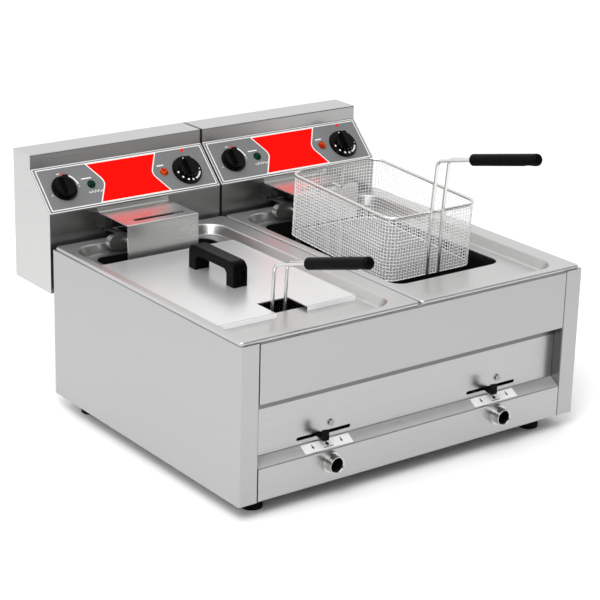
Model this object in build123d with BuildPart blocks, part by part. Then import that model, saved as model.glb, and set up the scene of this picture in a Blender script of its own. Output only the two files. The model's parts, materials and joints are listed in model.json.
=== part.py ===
# Twin-tank counter deep fryer: folded sheet body, two lift-out heads, drain valves, lid and wire baskets
from build123d import *
import math
import os

os.makedirs("parts", exist_ok=True)

# Millimetres: x to the user's right, y to the back, z up, floor at z = 0, body centred on x = y = 0
# The finished pieces move forward by ORIGIN_Y, so that the origin lies under the middle of the whole object
ORIGIN_Y = 20.51
SHEET = 1.5
BEND = 2.0
SEAM = 0.5
FIT = 0.2
RUN = 0.4
THROUGH = 4.0

# Body
BODY_W = 600.0
BODY_D = 480.0
FOOT_H = 25.0
PANEL_H = 224.0
POST_W = 30.5
RECESS = 17.0
RETURN = 12.0
FRONT_LOW_Z = 162.5
SILL_TOP_Z = 83.0
SILL_LOW_Z = 72.5
TUCK = 20.0
X_SIDE = BODY_W / 2
Y_FRONT = -BODY_D / 2
Y_BACK = BODY_D / 2
Z_LOW = FOOT_H
Z_RIM = FOOT_H + PANEL_H
Y_RECESS = Y_FRONT + RECESS
X_POST = X_SIDE - POST_W
X_FRONT = X_POST - SEAM
Z_BASE = Z_LOW + 2 * SHEET
VENT_L = 40.0
VENT_W = 5.0
VENT_PITCH = 14.0
VENT_ROWS = 6

# Feet
FOOT_R = 16.0
FOOT_FLARE = 1.0
FOOT_HOLE_R = 4.0
FOOT_HOLE_D = 8.0
FOOT_IN_X = 49.0
FOOT_BACK_IN_X = 38.0
FOOT_IN_Y = 40.0
FOOT_X = X_SIDE - FOOT_IN_X
FOOT_BACK_X = X_SIDE - FOOT_BACK_IN_X
FOOT_Y = Y_BACK - FOOT_IN_Y
FEET = ((-FOOT_X, -FOOT_Y), (FOOT_X, -FOOT_Y), (-FOOT_BACK_X, FOOT_Y), (FOOT_BACK_X, FOOT_Y))

# The two cooking modules; each tank sits a little left of its half
HALF = BODY_W / 4
MODULE_SHIFT = 8.0
MODULES = (("left", -HALF), ("right", HALF))

# Top plates
PLATE_IN_X = 2.0
PLATE_IN_Y = 3.0
PLATE_SEAM = 1.5
LIP = 5.0
PLATE_R = 6.0
WELL_SIDE = 23.0
WELL_END = 20.5
WELL_W = 2 * (HALF - WELL_SIDE)
WELL_L = BODY_D - 2 * WELL_END
WELL_Y = -3.5
WELL_R = 32.0
WELL_DEPTH = 15.0
WELL_TAPER = 28.0
WELL_TOP_R = 2.5
WELL_LOW_R = 4.0
Z_PLATE = Z_RIM + LIP
Z_WELL = Z_PLATE - WELL_DEPTH

# Tanks
TANK_LEDGE = 27.0
TANK_BACK = 16.0
TANK_W = WELL_W - 2 * TANK_LEDGE
TANK_L = 334.0
TANK_BACK_Y = WELL_Y + WELL_L / 2 - TANK_BACK
TANK_Y = TANK_BACK_Y - TANK_L / 2
TANK_FRONT_Y = TANK_BACK_Y - TANK_L
TANK_R = 22.0
TANK_FLANGE = 12.0
TANK_LOW_Z = 85.0
TANK_LOW_R = 10.0

# Drains
SPOUT_Z = 55.0
SPOUT_R = 12.0
SPOUT_BORE_R = 10.0
SPOUT_OUT = 16.0
SPOUT_NUT_R = 15.0
SPOUT_NUT_T = 4.0
SPOUT_CHAMFER = 1.0
STEM_Y = Y_RECESS + 38.0
OUTLET_IN = 29.0
OUTLET_Y = TANK_FRONT_Y + OUTLET_IN
OUTLET_BEND = 18.0
VALVE_L = 50.0
VALVE_R = 19.0
VALVE_HEX_L = 12.0
SOCKET_D = 10.0
FLOW_R = 6.0
BALL_R = 13.0
STEM_R = 4.0
SHOULDER_R = 6.0
BOSS_R = 10.0
BOSS_TOP_Z = 82.0
SLOT_Z = 91.5
SLOT_L = 91.0
SLOT_H = 5.0
LEVER_T = 3.0
LEVER_W = 10.0
LEVER_HUB_R = 9.0
LEVER_L = 61.0
TAB_H = 15.0
LEVER_REST = 12.0
LEVER_OPEN = 43.0
RIVET_T = 2.5
LABEL_W = 80.0
LABEL_H = 15.0
LABEL_T = 0.6
SCREW_R = 2.5
SCREW_HEAD_R = 4.5
SCREW_HEAD_T = 2.5
SCREW_L = 9.0
SCREW_DX = 12.0
SCREW_DZ = 12.0

# Heads, hung behind the body
HEAD_GAP = 1.5
HEAD_W = X_SIDE - HEAD_GAP / 2
HEAD_Y = 247.0
HEAD_STRIP_Y = 303.0
HEAD_BACK_Y = 353.0
HEAD_LOW_Z = Z_RIM - 71.0
HEAD_SLANT_Z = Z_RIM + 50.6
HEAD_STRIP_Z = Z_RIM + 105.2
HEAD_TOP_Z = Z_RIM + 126.5
HANGER_LOW_Z = Z_RIM - 44.0
HANGER_LIP = 17.0
HANGER_RISE = 30.0
HANGER_OUT = 7.9
HANGER_W = 40.0
HANGER_DX = 90.0
TONGUE_Y = 241.7
TONGUE_L = 21.5
TONGUE_W = 34.0
SLANT_L = math.hypot(HEAD_STRIP_Y - HEAD_Y, HEAD_STRIP_Z - HEAD_SLANT_Z)
SLANT_Y = (HEAD_STRIP_Y - HEAD_Y) / SLANT_L
SLANT_Z = (HEAD_STRIP_Z - HEAD_SLANT_Z) / SLANT_L

# Fascia and controls, placed from the head's left edge and up its slant
FASCIA_T = 0.8
FASCIA_EDGE = 2.5
SELECTOR = (39.2, 37.4)
THERMO_IN = 46.65
THERMO = (HEAD_W - THERMO_IN, 34.0)
POWER_LAMP = (85.5, 37.8)
HEAT_LAMP_IN = 86.05
HEAT_LAMP = (HEAD_W - HEAT_LAMP_IN, 38.1)
SHAFT_R = 3.0
SHAFT_L = 22.0
SHAFT_HOLE_R = 4.2
KNOB_LIFT = 0.6
SELECTOR_R = 20.0
SELECTOR_BASE_T = 3.0
SELECTOR_GRIP_R = 17.0
SELECTOR_H = 17.0
SELECTOR_TAPER = 8.0
THERMO_R = 24.5
THERMO_SKIRT_T = 5.0
THERMO_TAPER = 20.0
THERMO_CUP_R = 15.5
THERMO_H = 17.0
KNOB_BAR_W = 9.0
KNOB_BAR_CUT = 7.0
LAMP_R = 6.5
LAMP_NECK_R = 5.0
LAMP_H = 3.5
LAMP_L = 22.0
CONTROL_W = 38.0
CONTROL_D = 30.0

# Terminal block, element and guard at the front of each head
WINDOW_W = 110.0
WINDOW_LOW_Z = Z_RIM + 13.0
WINDOW_TOP_Z = Z_RIM + 37.0
GUARD_W = 122.0
GUARD_Y = 163.0
GUARD_LOW_Z = Z_RIM - 9.5
GUARD_TOP_Z = Z_RIM + 42.5
GUARD_FLANGE = 6.5
GUARD_SLOT_Y = 183.0
GUARD_SLOT_DX = 5.0
GUARD_SLOT_L = 89.0
GUARD_SLOT_W = 9.0
BLOCK_W = 128.0
BLOCK_D = 23.0
BLOCK_LOW_Z = Z_RIM + 23.5
BLOCK_H = 16.5
BLOCK_SCREW_DX = 57.0
BAR_W = 144.0
BAR_H = 21.0
BAR_Y = 197.0
BAR_T = 11.0
BAR_Z = Z_RIM + 7.5
TUBE_R = 4.25
TUBE_BEND = 14.0
TUBE_OUT = 40.0
TUBE_IN = 12.0
TUBE_WIDE = 70.0
TUBE_BACK_IN = 19.0
TUBE_Y = TANK_BACK_Y - TUBE_BACK_IN
TUBE_Z = TANK_LOW_Z + 36.5
TUBE_FRONT_IN = 34.0
TUBE_FRONT_Y = TANK_FRONT_Y + TUBE_FRONT_IN
STUB_Z = Z_RIM + 13.0
CAPILLARY_R = 1.2
CAPILLARY_BEND = 8.0
CAPILLARY_DX = 26.0
CAPILLARY_Z = Z_RIM + 20.8
CAPILLARY_Y = 191.0
BULB_R = 3.0
BULB_TOP_Z = Z_RIM - 49.0
BULB_L = 70.0
GLAND_Y = 300.0
GLAND_R = 10.0
GLAND_HEX_R = 15.0
GLAND_HEX_T = 5.0
GLAND_DOME_R = 12.0
GLAND_DOME_L = 15.0
GLAND_BORE_R = 6.0

# Lid
LID_REST = 15.0
LID_W = TANK_W + 2 * LID_REST
LID_L = 300.0
LID_H = 6.0
LID_R = 3.0
NOTCH_W = 52.0
NOTCH_L = 47.0
NOTCH_DX = 5.0
HANDLE_W = 24.0
HANDLE_L = 114.0
HANDLE_H = 36.0
HANDLE_Y = 22.0
HANDLE_FOOT = 18.0
HANDLE_BAR = 13.0
HANDLE_R = 13.0
HANDLE_INNER_R = 8.0
HANDLE_EDGE = 2.0
POCKET_W = 14.0
POCKET_D = 2.5
POCKET_L = 18.0

# Baskets
BASKET_ROOM = 16.0
BASKET_FRONT = 19.5
BASKET_BACK = 69.5
BASKET_W = TANK_W - 2 * BASKET_ROOM
BASKET_L = TANK_L - BASKET_FRONT - BASKET_BACK
BASKET_H = 96.0
BASKET_R = 22.0
BASKET_LOW_R = 6.0
NET_T = 1.6
NET_BAR = 3.0
NET_ROWS = 3
NET_X = 6
NET_Y = 9
WIRE_R = 2.5
WIRE_DX = 10.8
WIRE_TOP = 80.5
WIRE_LEAN = 5.0
WIRE_BEND = 12.0
WIRE_JOIN_DX = 4.6
GRIP_SLOPE = 16.0
GRIP_START = 62.0
GRIP_L = 137.0
GRIP_R = 8.6
GRIP_END_R = 5.0
GRIP_NOSE = 3.0
GRIP_HOLE_D = 30.0
GRIP_EYE_L = 20.0
GRIP_EYE_W = 9.0
GRIP_EYE_D = 5.0
HOOK_R = 2.0
HOOK_DX = 22.0
HOOK_DROP = 40.1
HOOK_OUT = 29.1
HOOK_REACH = BASKET_L / 2 + HOOK_OUT
HOOK_SLACK = 2.8
HOOK_TIP = 57.5
HOOK_BEND = 4.0
LEFT_BASKET_DX = 5.0
RIGHT_BASKET_DX = 0.9
BASKET_Y = TANK_FRONT_Y + BASKET_FRONT + BASKET_L / 2
HANG_Y = GUARD_SLOT_Y - HOOK_REACH - HOOK_SLACK
HANG_Z = GUARD_TOP_Z + 35.9
HANG_TILT = 2.8
SEAT = 0.3
LEFT_BASKET = (LEFT_BASKET_DX - HALF - MODULE_SHIFT, BASKET_Y, TUBE_Z + TUBE_R + BASKET_H + SEAT, 0.0)
RIGHT_BASKET = (RIGHT_BASKET_DX + HALF - MODULE_SHIFT, HANG_Y, HANG_Z, HANG_TILT)


def save(builder, name):
    """Names a finished piece and writes it."""
    placed = builder.part.moved(Location((0, -ORIGIN_Y, 0)))
    placed.label = name
    export_step(placed, f"parts/{name}.step")


def strip(plane, points, side, bend=BEND):
    """Section of a folded sheet whose outer face follows the points."""
    with BuildSketch(plane) as outline:
        with BuildLine():
            FilletPolyline(*points, radius=bend)
            offset(amount=SHEET, side=side)
        make_face()
    return outline.sketch


def rect(x0, x1, y0, y1, z, radius=0.0):
    """Level rectangle between two corners, with round corners if a radius is given."""
    with BuildSketch(Plane(((x0 + x1) / 2, (y0 + y1) / 2, z))) as outline:
        if radius:
            RectangleRounded(abs(x1 - x0), abs(y1 - y0), radius)
        else:
            Rectangle(abs(x1 - x0), abs(y1 - y0))
    return outline.sketch


def facing(x, y, z):
    """Upright plane whose normal points to the back."""
    return Plane(origin=(x, y, z), x_dir=(1, 0, 0), z_dir=(0, 1, 0))


def disc(plane, radius):
    """Round section on a plane."""
    with BuildSketch(plane) as outline:
        Circle(radius)
    return outline.sketch


def tube_path(points, bend):
    """Centre line of a bent tube or wire."""
    with BuildLine() as line:
        FilletPolyline(*points, radius=bend)
    return line.line


def tube_section(line, radius):
    """Round section at the start of a centre line."""
    return disc(Plane(origin=line @ 0, z_dir=line % 0), radius)


# Side panels: back return, side, front post and the post's inner return, with ledges at top and bottom
for side, sign in (("left", -1), ("right", 1)):
    plan = [
        (sign * (X_SIDE - RETURN), Y_BACK),
        (sign * X_SIDE, Y_BACK),
        (sign * X_SIDE, Y_FRONT),
        (sign * X_POST, Y_FRONT),
        (sign * X_POST, Y_RECESS + SHEET - SEAM),
    ]
    x_in = sign * (X_SIDE - SHEET)
    ledge_back = Y_BACK - SHEET - RETURN - SEAM
    with BuildPart() as side_panel:
        extrude(strip(Plane.XY.offset(Z_LOW), plan, Side.LEFT if sign < 0 else Side.RIGHT), amount=PANEL_H)
        extrude(rect(x_in, sign * (X_SIDE - RETURN), Y_FRONT + SHEET, ledge_back, Z_RIM), amount=-SHEET)
        x_fold = sign * (X_POST + SHEET)
        extrude(rect(x_in, x_fold, Y_FRONT + SHEET, Y_FRONT + RETURN, Z_RIM), amount=-SHEET)
        extrude(rect(x_in, sign * (X_POST + SHEET), Y_FRONT + SHEET, ledge_back, Z_LOW), amount=SHEET)
    save(side_panel, f"{side}_side_panel")

# Front panel with a return at its top and bottom
front_points = [
    (Y_FRONT + RETURN, Z_RIM),
    (Y_FRONT, Z_RIM),
    (Y_FRONT, FRONT_LOW_Z),
    (Y_RECESS, FRONT_LOW_Z),
]
with BuildPart() as front_panel:
    extrude(strip(Plane.YZ.offset(-X_FRONT), front_points, Side.LEFT), amount=2 * X_FRONT)
save(front_panel, "front_panel")

# Drain panel: recessed face, sloped sill, lower face and bottom return, with lever slots and spout holes
drain_points = [
    (Y_RECESS, FRONT_LOW_Z + TUCK),
    (Y_RECESS, SILL_TOP_Z),
    (Y_FRONT, SILL_LOW_Z),
    (Y_FRONT, Z_LOW),
    (Y_RECESS + RETURN, Z_LOW),
]
with BuildPart() as drain_panel:
    extrude(strip(Plane.YZ.offset(-X_FRONT), drain_points, Side.LEFT), amount=2 * X_FRONT)
    for side, x_drain in MODULES:
        with BuildSketch(facing(x_drain, Y_RECESS - THROUGH / 2, SLOT_Z)):
            SlotOverall(SLOT_L, SLOT_H)
        extrude(amount=THROUGH, mode=Mode.SUBTRACT)
        screw_plane = facing(x_drain + SCREW_DX, Y_RECESS - THROUGH / 2, SLOT_Z + SCREW_DZ)
        extrude(disc(screw_plane, SCREW_R + FIT), amount=THROUGH, mode=Mode.SUBTRACT)
        spout_plane = facing(x_drain, Y_FRONT - THROUGH / 2, SPOUT_Z)
        extrude(disc(spout_plane, SPOUT_R + SEAM), amount=THROUGH, mode=Mode.SUBTRACT)
save(drain_panel, "drain_panel")

# Base panel on the bottom returns, with air slots
with BuildPart() as base_panel:
    x_base = X_SIDE - SHEET - SEAM
    extrude(rect(-x_base, x_base, Y_RECESS + SHEET, Y_BACK - SHEET - SEAM, Z_LOW + SHEET), amount=SHEET)
    for side, x_drain in MODULES:
        with BuildSketch(Plane((x_drain, TANK_Y, Z_LOW + SHEET))):
            with GridLocations(VENT_L + VENT_PITCH, VENT_PITCH, 2, VENT_ROWS):
                SlotOverall(VENT_L, VENT_W)
        extrude(amount=SHEET, mode=Mode.SUBTRACT)
save(base_panel, "base_panel")

# Back panel inside the side panels' back returns, with air slots
back_points = [
    (Y_BACK - SHEET - RETURN, Z_RIM),
    (Y_BACK - SHEET, Z_RIM),
    (Y_BACK - SHEET, Z_BASE),
]
with BuildPart() as back_panel:
    extrude(strip(Plane.YZ.offset(-x_base), back_points, Side.RIGHT), amount=2 * x_base)
    for side, x_drain in MODULES:
        with BuildSketch(facing(x_drain, Y_BACK - THROUGH, (Z_BASE + HANGER_LOW_Z) / 2)):
            with GridLocations(VENT_L + VENT_PITCH, VENT_PITCH, 2, VENT_ROWS):
                SlotOverall(VENT_L, VENT_W)
        extrude(amount=2 * THROUGH, mode=Mode.SUBTRACT)
save(back_panel, "back_panel")

# Feet, one node of four
with BuildPart() as feet:
    for x_foot, y_foot in FEET:
        with BuildSketch(Plane((x_foot, y_foot, FOOT_H))):
            Circle(FOOT_R)
        extrude(amount=-FOOT_H, taper=math.degrees(math.atan2(FOOT_FLARE, FOOT_H)))
        with BuildSketch(Plane((x_foot, y_foot, 0))):
            Circle(FOOT_HOLE_R)
        extrude(amount=FOOT_HOLE_D, mode=Mode.SUBTRACT)
save(feet, "feet")

# Hangers on the back panel: channels, open at the top, that take the heads' tongues
hanger_points = [
    (Y_BACK - SHEET, HANGER_LOW_Z + HANGER_RISE),
    (Y_BACK - SHEET, HANGER_LOW_Z),
    (Y_BACK - SHEET + HANGER_OUT, HANGER_LOW_Z),
    (Y_BACK - SHEET + HANGER_OUT, HANGER_LOW_Z + HANGER_LIP),
]
with BuildPart() as hangers:
    for side, x_drain in MODULES:
        for reach in (-HANGER_DX, HANGER_DX):
            hanger_plane = Plane.YZ.offset(x_drain + reach - HANGER_W / 2)
            extrude(strip(hanger_plane, hanger_points, Side.LEFT), amount=HANGER_W)
save(hangers, "head_hangers")

# Label plates on the sill, left without words
sill = Plane(
    origin=(0, (Y_FRONT + Y_RECESS) / 2, (SILL_LOW_Z + SILL_TOP_Z) / 2),
    x_dir=(1, 0, 0),
    z_dir=(0, SILL_LOW_Z - SILL_TOP_Z, RECESS),
)
with BuildPart() as labels:
    for side, x_drain in MODULES:
        label_middle = sill.from_local_coords((x_drain, 0, 0))
        with BuildSketch(Plane(origin=label_middle, x_dir=(1, 0, 0), z_dir=sill.z_dir)):
            RectangleRounded(LABEL_W, LABEL_H, LABEL_T)
        extrude(amount=LABEL_T)
save(labels, "drain_labels")

# Screws that hold the valve brackets, one node of two
with BuildPart() as front_screws:
    for side, x_drain in MODULES:
        shank = facing(x_drain + SCREW_DX, Y_RECESS, SLOT_Z + SCREW_DZ)
        extrude(disc(shank, SCREW_R), amount=SCREW_L)
        extrude(disc(shank, SCREW_HEAD_R), amount=-SCREW_HEAD_T)
save(front_screws, "front_screws")

# Everything that comes once per module on the body
for side, x_drain in MODULES:
    x_tank = x_drain - MODULE_SHIFT
    inner_edge = math.copysign(PLATE_SEAM, x_drain)
    outer_edge = math.copysign(X_SIDE - PLATE_IN_X, x_drain)
    y_edge = BODY_D / 2 - PLATE_IN_Y

    # Top plate: turned-down rim, pressed drip well, tank opening
    with BuildPart() as top_plate:
        extrude(rect(inner_edge, outer_edge, -y_edge, y_edge, Z_PLATE, PLATE_R), amount=-LIP)
        inset = math.copysign(SHEET, x_drain)
        y_hollow = y_edge - SHEET
        hollow = rect(inner_edge + inset, outer_edge - inset, -y_hollow, y_hollow, Z_RIM, PLATE_R - SHEET)
        extrude(hollow, amount=LIP - SHEET, mode=Mode.SUBTRACT)
        with BuildSketch(Plane((x_tank, WELL_Y, Z_PLATE))):
            RectangleRounded(WELL_W + 2 * SHEET, WELL_L + 2 * SHEET, WELL_R + SHEET)
        extrude(amount=-(WELL_DEPTH + SHEET), taper=WELL_TAPER)
        with BuildSketch(Plane((x_tank, WELL_Y, Z_PLATE))):
            RectangleRounded(WELL_W, WELL_L, WELL_R)
        extrude(amount=-WELL_DEPTH, taper=WELL_TAPER, mode=Mode.SUBTRACT)
        level_faces = top_plate.faces().filter_by(Plane.XY)
        floor_face = level_faces.filter_by_position(Axis.Z, Z_WELL - FIT, Z_WELL + FIT)
        fillet(floor_face.edges(), WELL_LOW_R)
        rim_face = top_plate.faces().filter_by(Plane.XY).sort_by(Axis.Z)[-1]
        fillet(rim_face.edges(), WELL_TOP_R)
        with BuildSketch(Plane((x_tank, TANK_Y, Z_WELL))):
            RectangleRounded(TANK_W, TANK_L, TANK_R)
        extrude(amount=-2 * SHEET, mode=Mode.SUBTRACT)
    save(top_plate, f"{side}_top_plate")

    # Tank with its flange under the plate and its outlet tube
    outlet = [
        (x_drain, OUTLET_Y, TANK_LOW_Z + SHEET / 2),
        (x_drain, OUTLET_Y, SPOUT_Z),
        (x_drain, STEM_Y + VALVE_L / 2 - SOCKET_D + SEAM, SPOUT_Z),
    ]
    outlet_line = tube_path(outlet, OUTLET_BEND)
    with BuildPart() as tank:
        top_z = Z_WELL - SHEET
        with BuildSketch(Plane((x_tank, TANK_Y, top_z))):
            RectangleRounded(TANK_W + 2 * SHEET, TANK_L + 2 * SHEET, TANK_R + SHEET)
        extrude(amount=TANK_LOW_Z - top_z)
        fillet(tank.faces().sort_by(Axis.Z)[0].edges(), TANK_LOW_R + SHEET)
        with BuildSketch(Plane((x_tank, TANK_Y, top_z))):
            RectangleRounded(TANK_W + 2 * TANK_FLANGE, TANK_L + 2 * TANK_FLANGE, TANK_R + TANK_FLANGE)
        extrude(amount=-SHEET)
        sweep(tube_section(outlet_line, SPOUT_R), path=outlet_line)
        with BuildPart(mode=Mode.PRIVATE) as tank_room:
            with BuildSketch(Plane((x_tank, TANK_Y, top_z))):
                RectangleRounded(TANK_W, TANK_L, TANK_R)
            extrude(amount=TANK_LOW_Z + SHEET - top_z)
            fillet(tank_room.faces().sort_by(Axis.Z)[0].edges(), TANK_LOW_R)
        add(tank_room.part, mode=Mode.SUBTRACT)
        outlet_hole = disc(Plane((x_drain, OUTLET_Y, TANK_LOW_Z)), SPOUT_BORE_R)
        extrude(outlet_hole, amount=THROUGH, mode=Mode.SUBTRACT)
        sweep(tube_section(outlet_line, SPOUT_BORE_R), path=outlet_line, mode=Mode.SUBTRACT)
    save(tank, f"{side}_tank")

    # Ball valve body with hexagon ends, sockets and a stem boss
    with BuildPart() as valve:
        for end in (-1, 1):
            end_plane = facing(x_drain, STEM_Y + end * VALVE_L / 2, SPOUT_Z)
            with BuildSketch(end_plane):
                RegularPolygon(VALVE_R, 6)
            extrude(amount=-end * VALVE_HEX_L)
        barrel = facing(x_drain, STEM_Y - VALVE_L / 2 + VALVE_HEX_L, SPOUT_Z)
        extrude(disc(barrel, VALVE_R), amount=VALVE_L - 2 * VALVE_HEX_L)
        stem_plane = Plane((x_drain, STEM_Y, SPOUT_Z))
        extrude(disc(stem_plane, BOSS_R), amount=BOSS_TOP_Z - SPOUT_Z)
        extrude(disc(stem_plane, STEM_R + RUN), amount=BOSS_TOP_Z - SPOUT_Z, mode=Mode.SUBTRACT)
        flow_hole = disc(facing(x_drain, STEM_Y - VALVE_L / 2, SPOUT_Z), FLOW_R)
        extrude(flow_hole, amount=VALVE_L, mode=Mode.SUBTRACT)
        for end in (-1, 1):
            socket = facing(x_drain, STEM_Y + end * VALVE_L / 2, SPOUT_Z)
            extrude(disc(socket, SPOUT_R + FIT), amount=-end * SOCKET_D, mode=Mode.SUBTRACT)
        with Locations((x_drain, STEM_Y, SPOUT_Z)):
            Sphere(BALL_R + RUN, mode=Mode.SUBTRACT)
    save(valve, f"{side}_drain_valve")

    # Ball with its stem, turned by the lever; its bore meets the pipe at the open end of the slot
    aim = math.radians(LEVER_REST + LEVER_OPEN)
    ahead = (-math.sin(aim), math.cos(aim), 0)
    flow = Plane(origin=(x_drain, STEM_Y, SPOUT_Z), x_dir=(0, 0, 1), z_dir=ahead)
    with BuildPart() as ball:
        with Locations((x_drain, STEM_Y, SPOUT_Z)):
            Sphere(BALL_R)
        lever_low = SLOT_Z - LEVER_T / 2
        lever_top = SLOT_Z + LEVER_T / 2
        extrude(disc(stem_plane, STEM_R), amount=lever_top + RIVET_T - SPOUT_Z)
        shoulder = Plane((x_drain, STEM_Y, BOSS_TOP_Z + SEAM))
        extrude(disc(shoulder, SHOULDER_R), amount=lever_low - BOSS_TOP_Z - SEAM)
        extrude(disc(Plane((x_drain, STEM_Y, lever_top)), SHOULDER_R), amount=RIVET_T)
        extrude(disc(flow, FLOW_R), amount=BALL_R, both=True, mode=Mode.SUBTRACT)
    save(ball, f"{side}_drain_ball")

    # Lever: hub, strip through the slot and an upturned tab
    rest = math.radians(LEVER_REST)
    lever_dir = (-math.sin(rest), -math.cos(rest), 0)
    lever_plane = Plane(origin=(x_drain, STEM_Y, lever_low), x_dir=lever_dir, z_dir=(0, 0, 1))
    with BuildPart() as lever:
        with BuildSketch(lever_plane):
            Circle(LEVER_HUB_R)
            with Locations((LEVER_L / 2, 0)):
                Rectangle(LEVER_L, LEVER_W)
            Circle(STEM_R + FIT, mode=Mode.SUBTRACT)
        extrude(amount=LEVER_T)
        with BuildSketch(lever_plane):
            with Locations((LEVER_L - LEVER_T / 2, 0)):
                Rectangle(LEVER_T, LEVER_W)
        extrude(amount=TAB_H)
        tab_top = lever.faces().filter_by(Axis.Z).sort_by(Axis.Z)[-1]
        fillet(tab_top.edges().filter_by(Axis.Z, reverse=True).sort_by(SortBy.LENGTH)[:2], LEVER_T / 3)
    save(lever, f"{side}_drain_lever")

    # Spout through the drain panel, with a nut against it
    spout_back = STEM_Y - VALVE_L / 2 + SOCKET_D - SEAM
    spout_front = Y_FRONT - SPOUT_OUT
    with BuildPart() as spout:
        extrude(disc(facing(x_drain, spout_front, SPOUT_Z), SPOUT_R), amount=spout_back - spout_front)
        extrude(disc(facing(x_drain, Y_FRONT, SPOUT_Z), SPOUT_NUT_R), amount=-SPOUT_NUT_T)
        bore = disc(facing(x_drain, spout_front, SPOUT_Z), SPOUT_BORE_R)
        extrude(bore, amount=spout_back - spout_front, mode=Mode.SUBTRACT)
        chamfer(spout.faces().sort_by(Axis.Y)[0].edges().sort_by(SortBy.LENGTH)[:1], SPOUT_CHAMFER)
    save(spout, f"{side}_drain_spout")


def slant(x, up, out=0.0):
    """Plane on the slanted control face, x from the body centre, a distance up the slant and out of it."""
    y = HEAD_Y + SLANT_Y * up - SLANT_Z * out
    z = HEAD_SLANT_Z + SLANT_Z * up + SLANT_Y * out
    return Plane(origin=(x, y, z), x_dir=(1, 0, 0), z_dir=(0, -SLANT_Z, SLANT_Y))


head_profile = [
    (HEAD_Y, HEAD_LOW_Z),
    (HEAD_Y, HEAD_SLANT_Z),
    (HEAD_STRIP_Y, HEAD_STRIP_Z),
    (HEAD_STRIP_Y, HEAD_TOP_Z),
    (HEAD_BACK_Y - SHEET, HEAD_TOP_Z),
    (HEAD_BACK_Y - SHEET, HEAD_LOW_Z),
]
tongue_top = HANGER_LOW_Z + SHEET + TONGUE_L
tongue_points = [(HEAD_Y + SHEET, tongue_top), (TONGUE_Y, tongue_top), (TONGUE_Y, HANGER_LOW_Z + SHEET)]
guard_points = [
    (GUARD_Y, GUARD_LOW_Z),
    (GUARD_Y, GUARD_TOP_Z),
    (HEAD_Y - SHEET, GUARD_TOP_Z),
    (HEAD_Y - SHEET, GUARD_TOP_Z + GUARD_FLANGE),
]

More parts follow.
